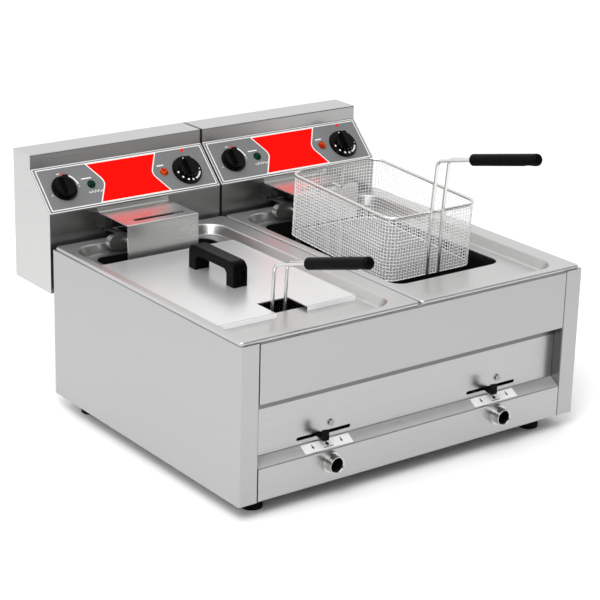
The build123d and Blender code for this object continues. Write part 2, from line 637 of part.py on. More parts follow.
# Everything on the two heads
for side, x_drain in MODULES:
    x_tank = x_drain - MODULE_SHIFT
    x_left = x_drain - HEAD_W / 2 + math.copysign(HEAD_GAP / 4, x_drain)
    x_mid = x_left + HEAD_W / 2
    x_selector = x_left + SELECTOR[0]
    x_thermo = x_left + THERMO[0]
    lamps = {"power_lamp": POWER_LAMP, "heat_lamp": HEAT_LAMP}
    holes = [(x_selector, SELECTOR[1], SHAFT_HOLE_R), (x_thermo, THERMO[1], SHAFT_HOLE_R)]
    holes += [(x_left + across, up, LAMP_NECK_R + FIT) for across, up in lamps.values()]

    # Casing: folded wrap with closed ends, open at the back, with two hanging tongues
    with BuildPart() as casing:
        with BuildSketch(Plane.YZ.offset(x_left)):
            with BuildLine():
                Polyline(*head_profile, close=True)
            make_face()
        extrude(amount=HEAD_W)
        fillet(casing.edges().filter_by(Axis.X).sort_by(Axis.Y)[:4], BEND)
        with BuildSketch(Plane.YZ.offset(x_left + SHEET)):
            with BuildLine():
                Polyline(*head_profile, close=True)
            make_face()
            offset(amount=-SHEET, kind=Kind.INTERSECTION, mode=Mode.REPLACE)
        extrude(amount=HEAD_W - 2 * SHEET, mode=Mode.SUBTRACT)
        with BuildSketch(facing(x_mid, HEAD_BACK_Y - THROUGH, (HEAD_LOW_Z + HEAD_TOP_Z) / 2)):
            Rectangle(HEAD_W - 2 * SHEET, HEAD_TOP_Z - HEAD_LOW_Z - 2 * SHEET)
        extrude(amount=THROUGH, mode=Mode.SUBTRACT)
        for reach in (-HANGER_DX, HANGER_DX):
            tongue_plane = Plane.YZ.offset(x_drain + reach - TONGUE_W / 2)
            extrude(strip(tongue_plane, tongue_points, Side.LEFT), amount=TONGUE_W)
        with BuildSketch(facing(x_tank, HEAD_Y - THROUGH / 2, (WINDOW_LOW_Z + WINDOW_TOP_Z) / 2)):
            Rectangle(WINDOW_W, WINDOW_TOP_Z - WINDOW_LOW_Z)
        extrude(amount=THROUGH, mode=Mode.SUBTRACT)
        for x_hole, up, radius in holes:
            extrude(disc(slant(x_hole, up, THROUGH / 2), radius), amount=-THROUGH, mode=Mode.SUBTRACT)
        gland_plane = Plane((x_mid, GLAND_Y, HEAD_LOW_Z))
        extrude(disc(gland_plane, GLAND_R + FIT), amount=THROUGH, mode=Mode.SUBTRACT)
    save(casing, f"{side}_head_casing")

    # Back cover
    with BuildPart() as cover:
        cover_plane = facing(x_mid, HEAD_BACK_Y - SHEET, (HEAD_LOW_Z + HEAD_TOP_Z) / 2)
        with BuildSketch(cover_plane):
            Rectangle(HEAD_W, HEAD_TOP_Z - HEAD_LOW_Z)
        extrude(amount=SHEET)
        with BuildSketch(cover_plane):
            with GridLocations(VENT_L + VENT_PITCH, VENT_PITCH, 2, VENT_ROWS):
                SlotOverall(VENT_L, VENT_W)
        extrude(amount=SHEET, mode=Mode.SUBTRACT)
    save(cover, f"{side}_head_back_cover")

    # Fascia sheet on the slant
    with BuildPart() as fascia:
        with BuildSketch(slant(x_mid, SLANT_L / 2)):
            Rectangle(HEAD_W - 2 * FASCIA_EDGE, SLANT_L - 2 * FASCIA_EDGE)
        extrude(amount=FASCIA_T)
        for x_hole, up, radius in holes:
            extrude(disc(slant(x_hole, up), radius), amount=FASCIA_T, mode=Mode.SUBTRACT)
    save(fascia, f"{side}_fascia")

    # Lamps: domed lens outside, neck through the fascia
    for lamp_name, (across, up) in lamps.items():
        with BuildPart() as lamp:
            extrude(disc(slant(x_left + across, up, FASCIA_T), LAMP_R), amount=LAMP_H)
            lens_edge = lamp.edges().filter_by(GeomType.CIRCLE).sort_by(Axis.Z)[-1]
            fillet(lens_edge, LAMP_H - SEAM)
            extrude(disc(slant(x_left + across, up, FASCIA_T), LAMP_NECK_R), amount=-LAMP_L)
        save(lamp, f"{side}_{lamp_name}")

    # Rotary switch behind the selector
    with BuildPart() as switch:
        with BuildSketch(slant(x_selector, SELECTOR[1], -SHEET)):
            Rectangle(CONTROL_W, CONTROL_W)
        extrude(amount=-CONTROL_D)
        bore = disc(slant(x_selector, SELECTOR[1], -SHEET), SHAFT_R + RUN)
        extrude(bore, amount=-SHAFT_L, mode=Mode.SUBTRACT)
    save(switch, f"{side}_rotary_switch")

    # Thermostat with its capillary and bulb
    case_back = slant(x_thermo, THERMO[1], -SHEET - CONTROL_D / 2).origin
    x_bulb = x_tank + CAPILLARY_DX
    capillary = tube_path(
        [
            (x_thermo, case_back.Y, case_back.Z),
            (x_thermo, case_back.Y, CAPILLARY_Z),
            (x_bulb, case_back.Y, CAPILLARY_Z),
            (x_bulb, CAPILLARY_Y, CAPILLARY_Z),
            (x_bulb, CAPILLARY_Y, BULB_TOP_Z - SEAM),
        ],
        CAPILLARY_BEND,
    )
    with BuildPart() as thermostat:
        with BuildSketch(slant(x_thermo, THERMO[1], -SHEET)):
            Rectangle(CONTROL_W, CONTROL_W)
        extrude(amount=-CONTROL_D)
        sweep(tube_section(capillary, CAPILLARY_R), path=capillary)
        extrude(disc(Plane((x_bulb, CAPILLARY_Y, BULB_TOP_Z)), BULB_R), amount=-BULB_L)
        bore = disc(slant(x_thermo, THERMO[1], -SHEET), SHAFT_R + RUN)
        extrude(bore, amount=-SHAFT_L, mode=Mode.SUBTRACT)
    save(thermostat, f"{side}_thermostat")

    # Selector knob on its shaft, with a bar left between two flats
    face = FASCIA_T + KNOB_LIFT
    with BuildPart() as selector:
        extrude(disc(slant(x_selector, SELECTOR[1], face), SELECTOR_R), amount=SELECTOR_BASE_T)
        grip_foot = disc(slant(x_selector, SELECTOR[1], face), SELECTOR_GRIP_R)
        extrude(grip_foot, amount=SELECTOR_H, taper=SELECTOR_TAPER)
        for flank in (-1, 1):
            offside = flank * (KNOB_BAR_W + SELECTOR_GRIP_R) / 2
            with BuildSketch(slant(x_selector + offside, SELECTOR[1], face + SELECTOR_H)):
                Rectangle(SELECTOR_GRIP_R, 2 * SELECTOR_R)
            extrude(amount=-KNOB_BAR_CUT, mode=Mode.SUBTRACT)
        extrude(disc(slant(x_selector, SELECTOR[1], face), SHAFT_R), amount=-(SHAFT_L - SEAM))
    save(selector, f"{side}_selector_knob")

    # Thermostat knob: dial skirt, raised cup and a bar across it
    with BuildPart() as dial:
        extrude(disc(slant(x_thermo, THERMO[1], face), THERMO_R), amount=THERMO_SKIRT_T, taper=THERMO_TAPER)
        extrude(disc(slant(x_thermo, THERMO[1], face), THERMO_CUP_R), amount=THERMO_H)
        for flank in (-1, 1):
            offside = flank * (KNOB_BAR_W + THERMO_CUP_R) / 2
            with BuildSketch(slant(x_thermo + offside, THERMO[1], face + THERMO_H)):
                Rectangle(THERMO_CUP_R, 2 * THERMO_CUP_R)
            extrude(amount=-KNOB_BAR_CUT, mode=Mode.SUBTRACT)
        extrude(disc(slant(x_thermo, THERMO[1], face), SHAFT_R), amount=-(SHAFT_L - SEAM))
    save(dial, f"{side}_thermostat_knob")

    # Terminal block in front of the casing's window
    with BuildPart() as block:
        y_block = HEAD_Y - SHEET - SEAM
        x_block = x_tank - BLOCK_W / 2
        extrude(rect(x_block, x_block + BLOCK_W, y_block - BLOCK_D, HEAD_Y, BLOCK_LOW_Z), amount=BLOCK_H)
        for reach in (-BLOCK_SCREW_DX, BLOCK_SCREW_DX):
            screw_spot = facing(x_tank + reach, y_block - BLOCK_D, BLOCK_LOW_Z + BLOCK_H / 2)
            hole = disc(screw_spot, SCREW_R + FIT)
            extrude(hole, amount=SCREW_L + SEAM, mode=Mode.SUBTRACT)
    save(block, f"{side}_terminal_block")

    # Screws of the head: two in the terminal block, four in the back cover
    with BuildPart() as head_screws:
        for reach in (-BLOCK_SCREW_DX, BLOCK_SCREW_DX):
            shank = facing(x_tank + reach, y_block - BLOCK_D, BLOCK_LOW_Z + BLOCK_H / 2)
            extrude(disc(shank, SCREW_R), amount=SCREW_L)
            extrude(disc(shank, SCREW_HEAD_R), amount=-SCREW_HEAD_T)
        for reach in (-1, 1):
            for z_screw in (HEAD_LOW_Z + TUCK, HEAD_TOP_Z - TUCK):
                cap = facing(x_mid + reach * (HEAD_W / 2 - TUCK), HEAD_BACK_Y, z_screw)
                extrude(disc(cap, SCREW_HEAD_R), amount=SCREW_HEAD_T)
    save(head_screws, f"{side}_head_screws")

    # Heating element: flange bar with two hairpin tubes and the stubs that carry it on the casing
    with BuildPart() as element:
        with BuildSketch(facing(x_tank, BAR_Y, BAR_Z)):
            SlotOverall(BAR_W, BAR_H)
        extrude(amount=BAR_T)
        y_leg = BAR_Y + BAR_T / 2
        for flank in (-1, 1):
            x_out = x_tank + flank * TUBE_OUT
            x_in = x_tank + flank * TUBE_IN
            x_wide = x_tank + flank * TUBE_WIDE
            hairpin = tube_path(
                [
                    (x_out, y_leg, BAR_Z),
                    (x_out, TUBE_Y, BAR_Z),
                    (x_out, TUBE_Y, TUBE_Z),
                    (x_wide, TUBE_Y, TUBE_Z),
                    (x_wide, TUBE_FRONT_Y, TUBE_Z),
                    (x_in, TUBE_FRONT_Y, TUBE_Z),
                    (x_in, TUBE_Y, TUBE_Z),
                    (x_in, TUBE_Y, BAR_Z),
                    (x_in, y_leg, BAR_Z),
                ],
                TUBE_BEND,
            )
            sweep(tube_section(hairpin, TUBE_R), path=hairpin)
            for x_stub in (x_out, x_in):
                extrude(disc(facing(x_stub, y_leg, STUB_Z), TUBE_R), amount=HEAD_Y - y_leg)
    save(element, f"{side}_heating_element")

    # Guard: folded front and top with the basket slot, screwed to the casing by its flange
    with BuildPart() as guard:
        extrude(strip(Plane.YZ.offset(x_tank - GUARD_W / 2), guard_points, Side.RIGHT), amount=GUARD_W)
        with BuildSketch(Plane((x_tank + GUARD_SLOT_DX, GUARD_SLOT_Y, GUARD_TOP_Z))):
            SlotOverall(GUARD_SLOT_L, GUARD_SLOT_W)
        extrude(amount=-THROUGH, mode=Mode.SUBTRACT)
    save(guard, f"{side}_element_guard")

    # Cable gland under the casing; the cord itself isn't part of the photo
    with BuildPart() as gland:
        with BuildSketch(gland_plane):
            RegularPolygon(GLAND_HEX_R, 6)
        extrude(amount=-GLAND_HEX_T)
        extrude(disc(gland_plane.offset(-GLAND_HEX_T), GLAND_DOME_R), amount=-GLAND_DOME_L)
        fillet(gland.faces().sort_by(Axis.Z)[0].edges(), GLAND_DOME_R / 4)
        extrude(disc(gland_plane, GLAND_R), amount=2 * GLAND_HEX_T)
        with BuildSketch(gland_plane.offset(SHEET)):
            RegularPolygon(GLAND_HEX_R, 6)
        extrude(amount=GLAND_HEX_T)
        bore = disc(gland_plane.offset(-GLAND_HEX_T - GLAND_DOME_L), GLAND_BORE_R)
        extrude(bore, amount=3 * GLAND_HEX_T + GLAND_DOME_L, mode=Mode.SUBTRACT)
    save(gland, f"{side}_cable_gland")

# Lid in the left well: tray turned down on all sides, with a notch for the basket handle
lid_x = -HALF - MODULE_SHIFT
with BuildPart() as lid:
    lid_low = Z_WELL
    extrude(rect(lid_x - LID_W / 2, lid_x + LID_W / 2, -LID_L / 2, LID_L / 2, lid_low, LID_R), amount=LID_H)
    x_room = LID_W / 2 - SHEET
    y_room = LID_L / 2 - SHEET
    extrude(
        rect(lid_x - x_room, lid_x + x_room, -y_room, y_room, lid_low, LID_R - SHEET),
        amount=LID_H - SHEET,
        mode=Mode.SUBTRACT,
    )
    x_notch = lid_x + NOTCH_DX
    lid_front = -LID_L / 2
    notch_left, notch_right = x_notch - NOTCH_W / 2, x_notch + NOTCH_W / 2
    notch = rect(notch_left, notch_right, lid_front - SHEET, lid_front + NOTCH_L, lid_low)
    extrude(notch, amount=LID_H, mode=Mode.SUBTRACT)
save(lid, "lid")

# Lid handle: moulded bridge with a shallow pocket on its front shoulder
handle_back = HANDLE_Y + HANDLE_L / 2
handle_front = HANDLE_Y - HANDLE_L / 2
lid_top = Z_WELL + LID_H
with BuildPart() as lid_handle:
    bridge_side = (lid_x - HANDLE_W / 2, HANDLE_Y, lid_top + HANDLE_H / 2)
    bridge = Plane(origin=bridge_side, x_dir=(0, 1, 0), z_dir=(1, 0, 0))
    with BuildSketch(bridge):
        Rectangle(HANDLE_L, HANDLE_H)
    extrude(amount=HANDLE_W)
    fillet(lid_handle.edges().filter_by(Axis.X).sort_by(Axis.Z)[-2:], HANDLE_R)
    room = Plane(
        origin=(lid_x - HANDLE_W / 2, HANDLE_Y, lid_top + (HANDLE_H - HANDLE_BAR) / 2),
        x_dir=(0, 1, 0),
        z_dir=(1, 0, 0),
    )
    with BuildSketch(room):
        Rectangle(HANDLE_L - 2 * HANDLE_FOOT, HANDLE_H - HANDLE_BAR)
    extrude(amount=HANDLE_W, mode=Mode.SUBTRACT)
    under = lid_top + HANDLE_H - HANDLE_BAR
    inner = lid_handle.edges().filter_by(Axis.X).filter_by_position(Axis.Z, under - FIT, under + FIT)
    fillet(inner, HANDLE_INNER_R)
    fillet(lid_handle.faces().sort_by(Axis.Z)[-1].edges(), HANDLE_EDGE)
    with BuildSketch(facing(lid_x, handle_front, lid_top + HANDLE_H - HANDLE_R - POCKET_L / 2)):
        RectangleRounded(POCKET_W, POCKET_L, POCKET_D)
    extrude(amount=POCKET_D, mode=Mode.SUBTRACT)
save(lid_handle, "lid_handle")

# Baskets: the net as a closed thin wall, the welded wire frame and the grip
for side, (x_basket, y_basket, z_basket, tilt) in (("left", LEFT_BASKET), ("right", RIGHT_BASKET)):
    lean = math.radians(tilt)
    upright = (0, -math.sin(lean), math.cos(lean))
    base = Plane(origin=(x_basket, y_basket, z_basket), x_dir=(1, 0, 0), z_dir=upright)

    def at(x, y, z):
        """Point of the basket in its own tilted frame."""
        return base.from_local_coords((x, y, z))

    with BuildPart() as net:
        with BuildSketch(base.offset(-WIRE_R)):
            RectangleRounded(BASKET_W, BASKET_L, BASKET_R)
        extrude(amount=WIRE_R - BASKET_H)
        fillet(net.faces().sort_by(Axis.Z)[0].edges(), BASKET_LOW_R)
        with BuildPart(mode=Mode.PRIVATE) as net_room:
            with BuildSketch(base.offset(-WIRE_R)):
                RectangleRounded(BASKET_W - 2 * NET_T, BASKET_L - 2 * NET_T, BASKET_R - NET_T)
            extrude(amount=WIRE_R - BASKET_H + NET_T)
            fillet(net_room.faces().sort_by(Axis.Z)[0].edges(), BASKET_LOW_R - NET_T)
        add(net_room.part, mode=Mode.SUBTRACT)
        wall_mid = Plane(origin=at(0, 0, -(BASKET_H + WIRE_R) / 2), x_dir=(1, 0, 0), z_dir=base.z_dir)
        front_wall = Plane(origin=wall_mid.origin, x_dir=(1, 0, 0), z_dir=-base.y_dir)
        side_wall = Plane(origin=wall_mid.origin, x_dir=base.y_dir, z_dir=(1, 0, 0))
        step_x = (BASKET_W - 2 * BASKET_R) / NET_X
        step_y = (BASKET_L - 2 * BASKET_R) / NET_Y
        step_z = (BASKET_H - WIRE_R - 2 * BASKET_LOW_R) / NET_ROWS
        for face, step_u, step_v, count_u, count_v in (
            (front_wall, step_x, step_z, NET_X, NET_ROWS),
            (side_wall, step_y, step_z, NET_Y, NET_ROWS),
            (wall_mid.offset(-BASKET_H / 2), step_x, step_y, NET_X, NET_Y),
        ):
            with BuildSketch(face):
                with GridLocations(step_u, step_v, count_u, count_v):
                    Rectangle(step_u - NET_BAR, step_v - NET_BAR)
            reach = BASKET_L if count_v == NET_ROWS else BASKET_LOW_R
            extrude(amount=reach, both=True, mode=Mode.SUBTRACT)
    save(net, f"{side}_basket_net")

    slope = math.radians(GRIP_SLOPE)
    bend_y = -BASKET_L / 2 - WIRE_R - WIRE_LEAN
    grip_y = bend_y - GRIP_START * math.cos(slope)
    grip_z = WIRE_TOP + GRIP_START * math.sin(slope)
    held_y = grip_y - (GRIP_HOLE_D - SEAM) * math.cos(slope)
    held_z = grip_z + (GRIP_HOLE_D - SEAM) * math.sin(slope)
    with BuildPart() as frame:
        with BuildLine() as rim_line:
            x_rim = BASKET_W / 2 - NET_T / 2
            y_rim = BASKET_L / 2 - NET_T / 2
            corners = [(-x_rim, -y_rim), (x_rim, -y_rim), (x_rim, y_rim), (-x_rim, y_rim)]
            FilletPolyline(*[at(x, y, 0) for x, y in corners], radius=BASKET_R, close=True)
        sweep(tube_section(rim_line.line, WIRE_R), path=rim_line.line)
        for flank in (-1, 1):
            handle_wire = tube_path(
                [
                    at(flank * WIRE_DX, -BASKET_L / 2 - WIRE_R - FIT, -BASKET_H + WIRE_R),
                    at(flank * WIRE_DX, -BASKET_L / 2 - WIRE_R - FIT, 0),
                    at(flank * WIRE_DX, bend_y, WIRE_TOP),
                    at(flank * WIRE_JOIN_DX, grip_y, grip_z),
                    at(flank * WIRE_JOIN_DX, held_y, held_z),
                ],
                WIRE_BEND,
            )
            sweep(tube_section(handle_wire, WIRE_R), path=handle_wire)
        hook = []
        for flank in (-1, 1):
            leg = [
                at(flank * HOOK_DX, BASKET_L / 2 + HOOK_R + FIT, 0),
                at(flank * HOOK_DX, BASKET_L / 2 + HOOK_R + FIT, -HOOK_DROP),
                at(flank * HOOK_DX, HOOK_REACH, -HOOK_DROP),
                at(flank * HOOK_DX, HOOK_REACH, -HOOK_TIP),
            ]
            hook += leg if flank < 0 else leg[::-1]
        hook_line = tube_path(hook, HOOK_BEND)
        sweep(tube_section(hook_line, HOOK_R), path=hook_line)
    save(frame, f"{side}_basket_frame")

    along = at(0, -math.cos(slope), math.sin(slope)) - at(0, 0, 0)
    grip_plane = Plane(origin=at(0, grip_y, grip_z), x_dir=(1, 0, 0), z_dir=along)
    with BuildPart() as grip:
        extrude(disc(grip_plane, GRIP_R), amount=GRIP_L)
        fillet(grip.edges().filter_by(GeomType.CIRCLE).sort_by(Axis.Y)[0], GRIP_END_R)
        chamfer(grip.edges().filter_by(GeomType.CIRCLE).sort_by(Axis.Y)[-1], GRIP_NOSE)
        fillet(grip.edges().filter_by(GeomType.CIRCLE).sort_by(Axis.Y)[-1], NET_T)
        with BuildSketch(grip_plane):
            with Locations((-WIRE_JOIN_DX, 0), (WIRE_JOIN_DX, 0)):
                Circle(WIRE_R + FIT)
        extrude(amount=GRIP_HOLE_D, mode=Mode.SUBTRACT)
        eye = at(0, grip_y, grip_z) + along * (GRIP_L - GRIP_EYE_L) - along.cross(Vector(1, 0, 0)) * GRIP_R
        with BuildSketch(Plane(origin=eye, x_dir=along, z_dir=-along.cross(Vector(1, 0, 0)))):
            SlotOverall(GRIP_EYE_L, GRIP_EYE_W)
        extrude(amount=-GRIP_EYE_D, mode=Mode.SUBTRACT)
    save(grip, f"{side}_basket_grip")
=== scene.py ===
# %% [markdown]
# A twin-tank counter fryer, dressed for a studio picture.
# The solids come in ready made and in place, in metres, with the floor at z = 0.
# This lesson gives them their finishes, prints their control panels,
# weaves their baskets and lights them.

import json
import math

import bpy
from mathutils import Matrix, Vector


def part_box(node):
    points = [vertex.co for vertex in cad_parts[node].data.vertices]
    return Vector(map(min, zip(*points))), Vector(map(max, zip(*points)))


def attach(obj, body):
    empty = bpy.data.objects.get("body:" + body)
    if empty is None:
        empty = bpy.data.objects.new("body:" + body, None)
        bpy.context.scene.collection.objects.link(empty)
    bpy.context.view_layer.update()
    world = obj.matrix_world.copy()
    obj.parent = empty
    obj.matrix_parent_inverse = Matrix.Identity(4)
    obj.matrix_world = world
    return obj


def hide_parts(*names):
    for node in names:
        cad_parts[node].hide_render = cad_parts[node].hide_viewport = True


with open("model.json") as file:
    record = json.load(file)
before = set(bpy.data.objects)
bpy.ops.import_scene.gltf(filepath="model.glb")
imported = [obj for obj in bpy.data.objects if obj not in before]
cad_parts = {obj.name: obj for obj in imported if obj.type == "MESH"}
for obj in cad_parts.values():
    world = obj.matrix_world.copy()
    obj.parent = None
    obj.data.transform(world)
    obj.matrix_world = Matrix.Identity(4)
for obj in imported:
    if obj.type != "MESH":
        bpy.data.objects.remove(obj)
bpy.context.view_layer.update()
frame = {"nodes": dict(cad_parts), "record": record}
nodes = frame["nodes"]

# %% [markdown]
# Everything repeats for the left and the right half, so the sizes that new pieces need are named once.
# They are the solids' own sizes: how far the body sits from the origin,
# where the slanted control face starts and ends, and where the sill above the drain spouts does.

# %% Sizes in metres
ORIGIN_Y = 0.02051
HALVES = ("left", "right")
HEAD_LEFT = {"left": -0.300, "right": 0.00075}
SLANT_FOOT = Vector((0.0, 0.247 - ORIGIN_Y, 0.2996))
SLANT_HEAD = Vector((0.0, 0.303 - ORIGIN_Y, 0.3542))
SLANT_UP = (SLANT_HEAD - SLANT_FOOT).normalized()
SLANT_OUT = Vector((1, 0, 0)).cross(SLANT_UP)
FASCIA_T = 0.0008
SILL_FRONT_Y, SILL_BACK_Y = -0.240, -0.223
SILL_LOW_Z, SILL_TOP_Z = 0.0725, 0.083
LABEL_T = 0.0006
print("slant", round(math.degrees(math.asin(SLANT_UP.z)), 2), "degrees")


# %% [markdown]
# Shader nodes are quicker to read as sums than as boxes and lines.
# A small class holds one output socket. Adding, taking away or multiplying it adds the Math node for us,
# and its node method makes every other node from a type, its settings and its inputs.

# %% A socket that does sums
class Wire:
    def __init__(self, tree, socket):
        self.tree = tree
        self.socket = socket

    def node(self, kind, settings=None, inputs=None, out=0):
        made = self.tree.nodes.new(kind)
        for key, value in (settings or {}).items():
            if key == "stops":
                ramp = made.color_ramp.elements
                while len(ramp) < len(value):
                    ramp.new(0.5)
                for stop, (place, shade) in zip(ramp, value):
                    stop.position = place
                    stop.color = (shade, shade, shade, 1) if isinstance(shade, float) else (*shade, 1)
            else:
                setattr(made, key, value)
        for key, value in (inputs or {}).items():
            feed(self.tree, made.inputs[key], value)
        return Wire(self.tree, made.outputs[out])

    def maths(self, operation, first, second):
        return self.node("ShaderNodeMath", {"operation": operation}, {0: first, 1: second})

    def __add__(self, other):
        return self.maths("ADD", self, other)

    def __radd__(self, other):
        return self.maths("ADD", other, self)

    def __sub__(self, other):
        return self.maths("SUBTRACT", self, other)

    def __rsub__(self, other):
        return self.maths("SUBTRACT", other, self)

    def __mul__(self, other):
        return self.maths("MULTIPLY", self, other)

    def __rmul__(self, other):
        return self.maths("MULTIPLY", other, self)


def feed(tree, socket, value):
    if isinstance(value, Wire):
        tree.links.new(value.socket, socket)
    elif hasattr(socket.default_value, "__len__") and len(value) < len(socket.default_value):
        socket.default_value = (*value, 1)
    else:
        socket.default_value = value


def new_finish(name, **constants):
    finish = bpy.data.materials.new(name)
    finish.use_nodes = True
    tree = finish.node_tree
    shader = tree.nodes["Principled BSDF"]
    for key, value in constants.items():
        feed(tree, shader.inputs[key.replace("_", " ")], value)
    place = Wire(tree, tree.nodes.new("ShaderNodeTexCoord").outputs["Object"])
    return finish, shader, place


def noise(place, scale, detail=2.0, stretch=(1, 1, 1)):
    spread = place.node("ShaderNodeMapping", None, {"Vector": place, "Scale": stretch})
    return spread.node("ShaderNodeTexNoise", None, {"Vector": spread, "Scale": scale, "Detail": detail})


def blend(place, low, high, share):
    return place.node("ShaderNodeMix", {"data_type": "RGBA"}, {0: share, 6: low, 7: high}, out=2)


def bump(place, height, strength, distance):
    inputs = {"Strength": strength, "Distance": distance, "Height": height}
    return place.node("ShaderNodeBump", None, inputs)


print("shader helpers ready")


# %% [markdown]
# The body is stainless sheet, which looks different where it sits in a gap, a fold or a recess.
# Masks pick such places: they ask where a point lies on the object, or which way it faces.
# A painted shade darkens the steel's colour where it would reflect a dark part of the room and where it
# borders a gap, and a painted highlight turns it paler and less mirror-like.

# %% Masks for the steel
SEAM_HALF = 0.0024
SIDEWAYS, SIDEWAYS_SOFT = 0.6, 0.2
HEAD_UNDER_Z = 0.2975
WELL_SHADE_Y, WELL_SHADE_SOFT = 0.120, 0.06
WELL_RIM_Z, WELL_RIM_SOFT = 0.2520, 0.0015
POST_X = 0.2710
SILL_EDGE = 0.0004
RECESS_SHADE_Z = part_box("front_panel")[0].z - 0.0135
RECESS_Y = SILL_FRONT_Y - ORIGIN_Y + 0.010
LID_FRONT_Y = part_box("lid")[0].y + 0.0009
LID_EDGE = 0.002
FRONT_DARK, UNDER_DARK, SEAM_DARK = 0.30, 0.15, 0.9
WELL_DARK, RECESS_DARK, POST_DARK, LID_DARK = 0.4, 0.65, 0.65, 0.55
SILL_HIGHLIGHT = 0.28


def past(place, axis, edge, soft=0.0004):
    along = place.node("ShaderNodeSeparateXYZ", None, {"Vector": place}, out=axis)
    limits = {"Value": along, "From Min": edge - soft, "From Max": edge + soft}
    return along.node("ShaderNodeMapRange", {"interpolation_type": "SMOOTHSTEP"}, limits)


def normal_of(place):
    return Wire(place.tree, place.socket.node.outputs["Normal"])


def spread_of(direction):
    return direction.node("ShaderNodeVectorMath", {"operation": "ABSOLUTE"}, {0: direction})


def facing_user(place):
    normal = normal_of(place)
    ahead = normal.node("ShaderNodeSeparateXYZ", None, {"Vector": normal}, out=1)
    limits = {"Value": -1.0 * ahead, "From Min": 0.75, "From Max": 0.97}
    return ahead.node("ShaderNodeMapRange", {"interpolation_type": "SMOOTHSTEP"}, limits)


# Painted shade: faces towards the front are darkened as if reflecting the dark room, more so low down,
# and a dark line is painted along the seam between the heads, kept off their side faces.
def head_shade(place):
    seam = 1.0 - past(spread_of(place), 0, SEAM_HALF)
    sideways = past(spread_of(normal_of(place)), 0, SIDEWAYS, SIDEWAYS_SOFT)
    under = 1.0 - past(place, 2, HEAD_UNDER_Z)
    front = 1.0 - facing_user(place) * (FRONT_DARK + under * UNDER_DARK)
    return front * (1.0 - SEAM_DARK * (seam * (1.0 - sideways)))


# Painted shade: the rear of each well, below the rim, is darkened where it would reflect the dark heads.
def plate_shade(place):
    rear = past(place, 1, WELL_SHADE_Y, WELL_SHADE_SOFT)
    return 1.0 - WELL_DARK * rear * (1.0 - past(place, 2, WELL_RIM_Z, WELL_RIM_SOFT))


# Painted shade: a dark band on the drain recess just under the front panel's lower edge.
def recess_shade(place):
    return 1.0 - RECESS_DARK * past(place, 2, RECESS_SHADE_Z) * past(place, 1, RECESS_Y)


# Painted shade: side-panel steel near the middle, the posts' inner faces by the drain recess, is
# darkened.
def post_shade(place):
    return 1.0 - POST_DARK * past(place, 0, -POST_X) * (1.0 - past(place, 0, POST_X))


# Painted highlight: the sloped sill, between its low and top edges, is turned paler and less metallic,
# like a bright reflection on it.
def sill_highlight(place):
    above = past(place, 2, SILL_LOW_Z + SILL_EDGE)
    return SILL_HIGHLIGHT * above * (1.0 - past(place, 2, SILL_TOP_Z - SILL_EDGE))


# Painted shade: a thin dark line along the lid's front edge, where the top bends down.
def lid_shade(place):
    edge = past(place, 1, LID_FRONT_Y) * (1.0 - past(place, 1, LID_FRONT_Y + LID_EDGE))
    return 1.0 - LID_DARK * edge


# Painted highlight: the lid's front lip is turned pale and less metallic.
def lip_highlight(place):
    return 1.0 - past(place, 1, LID_FRONT_Y)


print("masks ready")


# %% [markdown]
# The sheet has a brushed face.
# Brushing is a noise stretched very long along one direction, so that it reads as fine lines.
# It moves the colour and the roughness a little and adds a very shallow bump,
# and a slow cloud breaks up the flatness.

# %% Brushed steel
# Painted shade darkens the steel towards the first colour below, and a painted highlight turns it towards
# the pale white after it.
SHADOW = (0.012, 0.011, 0.010)
HIGHLIGHT_WHITE = (0.93, 0.93, 0.93)


def brushed(name, colour, rough, stretch, grain=1.0, metal=1.0, shade=None, matt=None):
    finish, shader, place = new_finish(name, Metallic=metal)
    tree = finish.node_tree
    lines = noise(place, 260.0, 3.0, stretch)
    cloud = noise(place, 5.0, 2.0)
    dark = tuple(c * (1 - 0.09 * grain) for c in colour)
    pale = tuple(min(1.0, c * (1 + 0.09 * grain)) for c in colour)
    tone = blend(place, dark, pale, lines * 0.7 + cloud * 0.3)
    # Painted shade and painted highlights are blended into the colour here, and the highlight also lowers
    # the metal.
    if shade:
        tone = blend(place, SHADOW, tone, shade(place))
    if matt:
        feed(tree, shader.inputs["Metallic"], metal - metal * matt(place))
        tone = blend(place, tone, HIGHLIGHT_WHITE, matt(place))
    feed(tree, shader.inputs["Base Color"], tone)
    wander = ((lines - 0.5) * 0.14 + (cloud - 0.5) * 0.08) * grain
    feed(tree, shader.inputs["Roughness"], wander + rough)
    feed(tree, shader.inputs["Normal"], bump(place, lines, 0.03 * grain, 0.0002))
    return finish


ALONG_X = (0.02, 1, 1)
ALONG_Y = (1, 0.02, 1)
